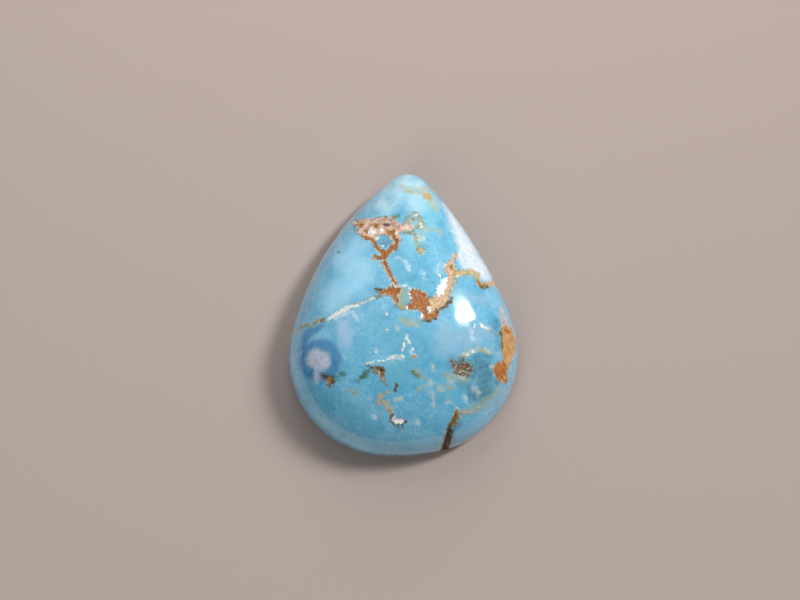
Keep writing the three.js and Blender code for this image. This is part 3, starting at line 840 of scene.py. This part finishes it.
# roughness is given where a marking isn't polished, and a rim has a pale and a dark colour by turns
stoneLooks = {
    # paler stone, brightened further as painted light on the left side
    "paleLeft": lookOf(((162, 214, 238), (144, 206, 236)), 1.0, 1.0, 0.3, 0.6, 0.8),
    # paler tip, partly painted reflection of the bright floor behind
    "tipGround": lookOf(((182, 218, 228), (160, 206, 224)), 0.6, 0.7, 0.35, 0.6, 0.85),
    "seaGround": lookOf(((136, 204, 216), (110, 190, 212)), 0.5, 0.6, 0.35, 0.5, 0.6),
    # deeper teal ground, and painted shadow above the pink band
    "tealGround": lookOf(((78, 158, 190), (106, 178, 204)), 0.4, 0.6, 0.3, 0.4, 0.75),
    "midGround": lookOf(((104, 176, 198), (88, 162, 190)), 0.5, 0.7, 0.35, 0.5, 0.6),
    "paleGround": lookOf(((154, 186, 206), (136, 178, 202)), 0.6, 0.6, 0.35, 0.5, 0.7),
    "lavender": lookOf(((164, 194, 224), (150, 190, 220)), 0.5, 0.5, 0.15, 0.35, 0.85),
    # darker teal, and painted shadow beside the seam
    "deepGround": lookOf(((64, 112, 134), (86, 138, 156), (146, 164, 160)), 0.25, 0.6, 0.4, 0.6, 0.85,
        fleck=0.35),
    "eyeRing": lookOf(((52, 120, 168), (70, 138, 184)), 0.4, 0.6, 0.1, 0.22, 0.9),
    # brighter than the heart looks, as painted light on the left side
    "eyeHeart": lookOf(((200, 206, 216), (172, 186, 206)), 0.25, 0.3, 0.12, 0.25, 0.95),
    # partly whitish stone, partly painted reflection of a bright light to the upper right
    "milk": lookOf(((226, 230, 236), (200, 216, 230)), 0.4, 0.5, 0.15, 0.3, 0.92),
    # white haze in the stone, and painted glints at besideKnob and highlightFoot
    "whiteHaze": lookOf(((206, 228, 236), (182, 214, 228)), 0.2, 0.3, 0.24, 0.16, 0.65),
    "deepInclusion": lookOf(((74, 134, 166), (112, 162, 186), (214, 224, 226)), 0.14, 0.25, 0.06, 0.07,
        0.95, fleck=0.3),
    "green": lookOf(((48, 84, 48), (78, 116, 74)), 0.15, 0.3, 0.2, 0.16, 0.9),
    "goldHaze": lookOf(((178, 180, 142), (152, 176, 162)), 0.4, 0.5, 0.2, 0.3, 0.45),
    "softOlive": lookOf(((150, 148, 100), (184, 178, 134), (124, 126, 84)), 0.22, 0.28, 0.18, 0.2, 0.72,
        fleck=0.35),
    "olive": lookOf(((110, 108, 64), (152, 144, 94), (84, 92, 58)), 0.2, 0.24, 0.17, 0.13, 0.85,
        fleck=0.45, roughness=0.25),
    "sage": lookOf(((122, 164, 154), (152, 172, 148), (182, 172, 138)), 0.2, 0.3, 0.1, 0.08, 0.92,
        fleck=0.3),
    "creamHaze": lookOf(((208, 206, 184), (182, 196, 186), (186, 160, 122)), 0.2, 0.3, 0.22, 0.17, 0.62,
        fleck=0.4),
    "cream": lookOf(((236, 236, 224), (212, 220, 210), (206, 186, 146)), 0.16, 0.2, 0.12, 0.07, 0.92,
        fleck=0.3, roughness=0.25),
    "buff": lookOf(((198, 174, 132), (166, 142, 98), (128, 98, 62)), 0.18, 0.24, 0.2, 0.1, 0.88,
        fleck=0.4, roughness=0.35),
    "tan": lookOf(((204, 174, 136), (180, 142, 100), (132, 90, 54)), 0.12, 0.2, 0.15, 0.06, 1.0,
        fleck=0.35, roughness=0.35, paleRim=(228, 206, 168), darkRim=(122, 94, 52), rimWidth=0.08),
    "pink": lookOf(((220, 194, 178), (182, 142, 122), (142, 90, 64)), 0.34, 0.3, 0.2, 0.06, 1.0,
        fleck=0.35, roughness=0.5, paleRim=(220, 196, 176), darkRim=(124, 96, 66), rimWidth=0.09),
    "blush": lookOf(((204, 192, 182), (186, 160, 146), (164, 120, 98)), 0.3, 0.4, 0.2, 0.16, 0.85,
        fleck=0.35, roughness=0.3),
    "ochre": lookOf(((196, 152, 98), (176, 128, 76), (146, 94, 54)), 0.35, 0.35, 0.1, 0.14, 1.0,
        fleck=0.3, roughness=0.25, paleRim=(216, 186, 130), darkRim=(140, 116, 62), rimWidth=0.08),
    "amber": lookOf(((182, 112, 48), (152, 84, 34), (200, 150, 84)), 0.25, 0.35, 0.1, 0.14, 1.0,
        fleck=0.3, roughness=0.25, paleRim=(214, 170, 104), darkRim=(120, 92, 50), rimWidth=0.08),
    "gold": lookOf(((206, 168, 96), (178, 138, 68), (224, 198, 140)), 0.16, 0.22, 0.12, 0.12, 0.9,
        fleck=0.35, roughness=0.3, paleRim=(176, 164, 104), darkRim=(126, 116, 66), rimWidth=0.08),
    "rust": lookOf(((176, 110, 48), (136, 76, 30), (206, 152, 84)), 0.11, 0.2, 0.14, 0.05, 1.0,
        fleck=0.35, roughness=0.4, paleRim=(224, 188, 126), darkRim=(108, 82, 44), rimWidth=0.1),
    "dark": lookOf(((54, 40, 24), (86, 62, 34), (40, 30, 22)), 0.14, 0.22, 0.16, 0.09, 0.92, fleck=0.4,
        roughness=0.45, paleRim=(132, 126, 78), darkRim=(92, 106, 74), rimWidth=0.05),
    "grit": lookOf(((112, 72, 46), (52, 42, 36), (222, 200, 172)), 0.1, 0.25, 0.2, 0.1, 0.92, fleck=0.66,
        roughness=0.5, paleRim=(150, 142, 108), darkRim=(86, 112, 104), rimWidth=0.12),
    "redPit": lookOf(((82, 40, 36), (110, 56, 48)), 0.12, 0.2, 0.05, 0.06, 0.92, roughness=0.5),
    # white crystals, and painted highlights where the glint strokes lie
    "white": lookOf(((248, 248, 246), (230, 224, 218)), 0.14, 0.2, 0.14, 0.06, 0.95, roughness=0.3),
}

ground = {
    "deep": seen(92, 172, 206),
    # what lies over it: the size of its clouds in mm, where in the noise they begin and are full
    "layers": {
        "pale": {"colour": seen(128, 194, 220), "size": 1.6, "detail": 5.0, "seed": 1.0,
                 "begin": 0.35, "full": 0.65, "amount": 1.0},
        "shade": {"colour": seen(70, 150, 186), "size": 0.7, "detail": 5.0, "seed": 6.0,
                  "begin": 0.52, "full": 0.75, "amount": 0.5},
        "haze": {"colour": seen(182, 216, 228), "size": 0.4, "detail": 6.0, "seed": 2.0,
                 "begin": 0.52, "full": 0.8, "amount": 0.55},
        "speck": {"colour": seen(70, 150, 186), "size": 0.14, "detail": 2.0, "seed": 7.0,
                  "begin": 0.4, "full": 0.7, "amount": 0.5},
    },
    "fleckColour": seen(182, 216, 228),
    "fleckSpacing": 0.9,
    "fleckRadius": 0.1,
    "fleckCore": 0.3,            # the part of a fleck's radius that is full
    "fleckPatch": {"size": 1.6, "seed": 3.0, "begin": 0.5, "full": 0.6},   # flecks are only in patches
}

# how the noise is read in the markings
grainRules = {
    "frayDetail": 4.0,
    "frayReach": 4.0,            # the noise goes about a quarter either way
    "detail": 3.0,
    "begin": 0.38,
    "full": 0.62,
    "fleckDetail": 2.0,
    "fewFlecks": 0.72,           # where flecks begin in the noise, at none and at most of them
    "mostFlecks": 0.5,
    "fleckEdge": 0.06,
    "patchDetail": 2.0,
    "patchBegin": 0.45,
    "patchFull": 0.55,
}

surface = {
    "ior": 1.61,
    "coatIor": 1.72,
    "coatRoughness": 0.05,
    "smoothest": 0.08,           # roughness of the polished stone
    "roughest": 0.13,
    "smear": {"size": 0.8, "seed": 4.0, "begin": 0.3, "full": 0.7},
    "rimPatch": 0.22,            # mm along a marking's rim, of its pale and dark stretches
    "rimStrength": 0.75,
    "bumpGrain": {"size": 0.1, "seed": 5.0, "detail": 4.0},
    "bump": 0.05 * mm,
    "edgeSeed": 10.0,            # the first marking's, and the next ones count on
    "toneSeed": 40.0,
    "rimSeed": 100.0,
}


def raggedEdgeGroup():
    # a mask of what lies inside a marking whose edge is frayed by noise
    tree, given, result = newTree("raggedEdge", "ShaderNodeTree", {
        "Distance": "Float", "Place": "Vector", "Fray": "Float", "Ragged": "Float", "Soft": "Float",
        "Seed": "Float",
    }, {"Mask": "Float"})
    waves = noise(tree, given["Place"], given["Fray"], given["Seed"], grainRules["frayDetail"])
    reach = calc(tree, "MULTIPLY", given["Ragged"], grainRules["frayReach"])
    shifted = calc(tree, "MULTIPLY_ADD", calc(tree, "SUBTRACT", waves, 0.5), reach, given["Distance"])
    inner = calc(tree, "MULTIPLY", given["Soft"], -1.0)
    tree.links.new(ramp(tree, shifted, given["Soft"], inner, kind="SMOOTHSTEP"), result["Mask"])
    return tree


def grainyColourGroup():
    # two tones mixed by grain, with flecks of a third
    tree, given, result = newTree("grainyColour", "ShaderNodeTree", {
        "Place": "Vector", "First": "Color", "Second": "Color", "Third": "Color", "Fleck": "Float",
        "Grain": "Float", "Seed": "Float",
    }, {"Colour": "Color"})
    r = grainRules
    grain = noise(tree, given["Place"], given["Grain"], given["Seed"], r["detail"])
    colour = blend(tree, ramp(tree, grain, r["begin"], r["full"]), given["First"], given["Second"])
    fleckSeed = calc(tree, "ADD", given["Seed"], 0.5)
    spots = noise(tree, given["Place"], given["Grain"], fleckSeed, r["fleckDetail"])
    start = ramp(tree, given["Fleck"], 0.0, 1.0, r["fewFlecks"], r["mostFlecks"])
    fleck = ramp(tree, spots, start, calc(tree, "ADD", start, r["fleckEdge"]))
    tree.links.new(blend(tree, fleck, colour, given["Third"]), result["Colour"])
    return tree


def patchesGroup():
    # a mask that is there only in patches
    tree, given, result = newTree("patches", "ShaderNodeTree", {
        "Place": "Vector", "Size": "Float", "Seed": "Float",
    }, {"Mask": "Float"})
    spots = noise(tree, given["Place"], given["Size"], given["Seed"], grainRules["patchDetail"])
    tree.links.new(ramp(tree, spots, grainRules["patchBegin"], grainRules["patchFull"]), result["Mask"])
    return tree


def groundColour(tree, place):
    g = ground
    colour = g["deep"]
    for layer in g["layers"].values():
        cloud = noise(tree, place, layer["size"], layer["seed"], layer["detail"])
        cover = ramp(tree, cloud, layer["begin"], layer["full"], 0.0, layer["amount"])
        colour = blend(tree, cover, colour, layer["colour"])
    cells = add(tree, "ShaderNodeTexVoronoi", {"Vector": place, "Scale": 1 / g["fleckSpacing"]})
    reach = g["fleckRadius"] / g["fleckSpacing"]
    fleck = ramp(tree, cells.outputs["Distance"], reach, reach * g["fleckCore"])
    patch = g["fleckPatch"]
    chosen = ramp(tree, noise(tree, place, patch["size"], patch["seed"]), patch["begin"], patch["full"])
    return blend(tree, calc(tree, "MULTIPLY", fleck, chosen), colour, g["fleckColour"])


def turquoiseFinish():
    material = bpy.data.materials.new("turquoise")
    material.use_nodes = True
    tree = material.node_tree
    shader = tree.nodes["Principled BSDF"]
    shader.inputs["IOR"].default_value = surface["ior"]
    shader.inputs["Coat IOR"].default_value = surface["coatIor"]
    shader.inputs["Coat Roughness"].default_value = surface["coatRoughness"]
    edgeGroup = raggedEdgeGroup()
    colourGroup = grainyColourGroup()
    patchGroup = patchesGroup()
    place = scaled(tree, add(tree, "ShaderNodeTexCoord").outputs["Object"], 1 / mm)

    def useGroup(group, inputs):
        made = add(tree, "ShaderNodeGroup", node_tree=group)
        for name, value in {"Place": place, **inputs}.items():
            feed(tree, made.inputs[name], value)
        return made.outputs[0]

    colour = groundColour(tree, place)
    smear = surface["smear"]
    roughness = ramp(tree, noise(tree, place, smear["size"], smear["seed"]), smear["begin"], smear["full"],
                     surface["smoothest"], surface["roughest"])
    matrix = 0.0
    for seed, (kind, look) in enumerate(stoneLooks.items()):
        field = add(tree, "ShaderNodeAttribute", attribute_name=kind).outputs["Fac"]
        edge = {**look["edge"], "Seed": surface["edgeSeed"] + seed}
        if "rimWidth" in look:
            beyond = calc(tree, "SUBTRACT", field, look["rimWidth"])
            rim = useGroup(edgeGroup, {"Distance": beyond, **edge})
            patches = useGroup(patchGroup, {"Size": surface["rimPatch"], "Seed": surface["rimSeed"] + seed})
            rimTone = blend(tree, patches, seen(*look["darkRim"]), seen(*look["paleRim"]))
            colour = blend(tree, calc(tree, "MULTIPLY", rim, surface["rimStrength"]), colour, rimTone)
        mask = calc(tree, "MULTIPLY", useGroup(edgeGroup, {"Distance": field, **edge}), look["strength"])
        tones = look["tones"]
        tone = useGroup(colourGroup, {"First": tones[0], "Second": tones[1], "Third": tones[-1],
                                      "Fleck": look["fleck"], "Grain": look["grain"],
                                      "Seed": surface["toneSeed"] + seed})
        colour = blend(tree, mask, colour, tone)
        if "roughness" in look:
            mixed = add(tree, "ShaderNodeMix", {0: mask, 2: roughness, 3: look["roughness"]},
                        data_type="FLOAT")
            roughness = mixed.outputs[0]
            matrix = calc(tree, "MAXIMUM", matrix, mask)
    feed(tree, shader.inputs["Base Color"], colour)
    feed(tree, shader.inputs["Roughness"], roughness)
    feed(tree, shader.inputs["Coat Weight"], calc(tree, "SUBTRACT", 1.0, matrix))
    fine = surface["bumpGrain"]
    grain = noise(tree, place, fine["size"], fine["seed"], fine["detail"])
    bump = add(tree, "ShaderNodeBump",
               {"Height": calc(tree, "MULTIPLY", grain, matrix), "Distance": surface["bump"]})
    feed(tree, shader.inputs["Normal"], bump.outputs[0])
    return material


finish = turquoiseFinish()
stone, helpers = makeStone(finish)
helpers += markStone(stone, finish)
evaluated = stone.evaluated_get(bpy.context.evaluated_depsgraph_get())
stone.data = bpy.data.meshes.new_from_object(evaluated)
stone.modifiers.clear()
for helper in helpers:
    bpy.data.objects.remove(helper)
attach(stone, "root")
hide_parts("cabochon")
print("stone made:", len(stone.data.polygons), "faces")


# floor and light

studio = {
    "floorSize": 2000 * mm,
    "floorColour": (0.41, 0.335, 0.302, 1),
    "floorRoughness": 0.9,
    "roomColour": (0.95, 0.97, 1.0, 1),
    "roomLight": 0.05,
    "glowWay": Vector((-0.25, 0.8, 0.55)),   # the brighter side of the room
    "glow": 0.45,
    "glowEdge": 0.2,             # the cosine of how wide it spreads
    "horizon": 0.05,             # light from low all round
    "horizonTop": 0.4,           # the sine of how high it reaches
    # a lamp's place, aim, width and height in mm, its power in watts, and if it mirrors in the polish
    "lamps": {
        "roundLamp": {"place": (588, 366, 570), "aim": (0, 0, 4), "size": (80, 285), "power": 3.9,
                      "mirrored": True},
        "softBox": {"place": (1000, 600, 1150), "aim": (0, 0, 0), "size": (450, 450), "power": 11.8,
                    "mirrored": False},
        "frontFill": {"place": (-240, -400, 340), "aim": (0, 0, 0), "size": (420, 420), "power": 1.1,
                      "mirrored": False},
        "backPanel": {"place": (0, 80, 60), "aim": (0, 30, 0), "size": (70, 70), "power": 0.032,
                      "mirrored": False},
    },
}


def makeFloor():
    half = studio["floorSize"] / 2
    mesh = bpy.data.meshes.new("floor")
    corners = [(-half, -half, 0), (half, -half, 0), (half, half, 0), (-half, half, 0)]
    mesh.from_pydata(corners, [], [(0, 1, 2, 3)])
    floor = bpy.data.objects.new("floor", mesh)
    bpy.context.scene.collection.objects.link(floor)
    material = bpy.data.materials.new("paleFloor")
    material.use_nodes = True
    shader = material.node_tree.nodes["Principled BSDF"]
    shader.inputs["Base Color"].default_value = studio["floorColour"]
    shader.inputs["Roughness"].default_value = studio["floorRoughness"]
    mesh.materials.append(material)


def addLamp(name, lamp):
    data = bpy.data.lights.new(name, "AREA")
    data.shape = "ELLIPSE"
    data.size = lamp["size"][0] * mm
    data.size_y = lamp["size"][1] * mm
    data.energy = lamp["power"]
    made = bpy.data.objects.new(name, data)
    made.location = Vector(lamp["place"]) * mm
    made.rotation_mode = "QUATERNION"
    made.rotation_quaternion = (Vector(lamp["aim"]) - Vector(lamp["place"])).to_track_quat("-Z", "Y")
    made.visible_glossy = lamp["mirrored"]
    bpy.context.scene.collection.objects.link(made)


def makeRoom():
    world = bpy.data.worlds.new("softRoom")
    world.use_nodes = True
    tree = world.node_tree
    background = tree.nodes["Background"]
    way = add(tree, "ShaderNodeTexCoord").outputs["Generated"]
    facing = vectorCalc(tree, "DOT_PRODUCT", way, studio["glowWay"].normalized())
    glow = ramp(tree, facing, studio["glowEdge"], 1.0, studio["roomLight"], studio["glow"], "SMOOTHSTEP")
    height = add(tree, "ShaderNodeSeparateXYZ", {0: way}).outputs[2]
    low = ramp(tree, height, studio["horizonTop"], 0.0, 0.0, studio["horizon"], "SMOOTHSTEP")
    background.inputs["Color"].default_value = studio["roomColour"]
    feed(tree, background.inputs["Strength"], calc(tree, "ADD", glow, low))
    bpy.context.scene.world = world
    bpy.context.scene.view_settings.view_transform = "Standard"


def makeLight():
    for name, lamp in studio["lamps"].items():
        addLamp(name, lamp)
    makeRoom()


makeFloor()
makeLight()
print("floor and light made")
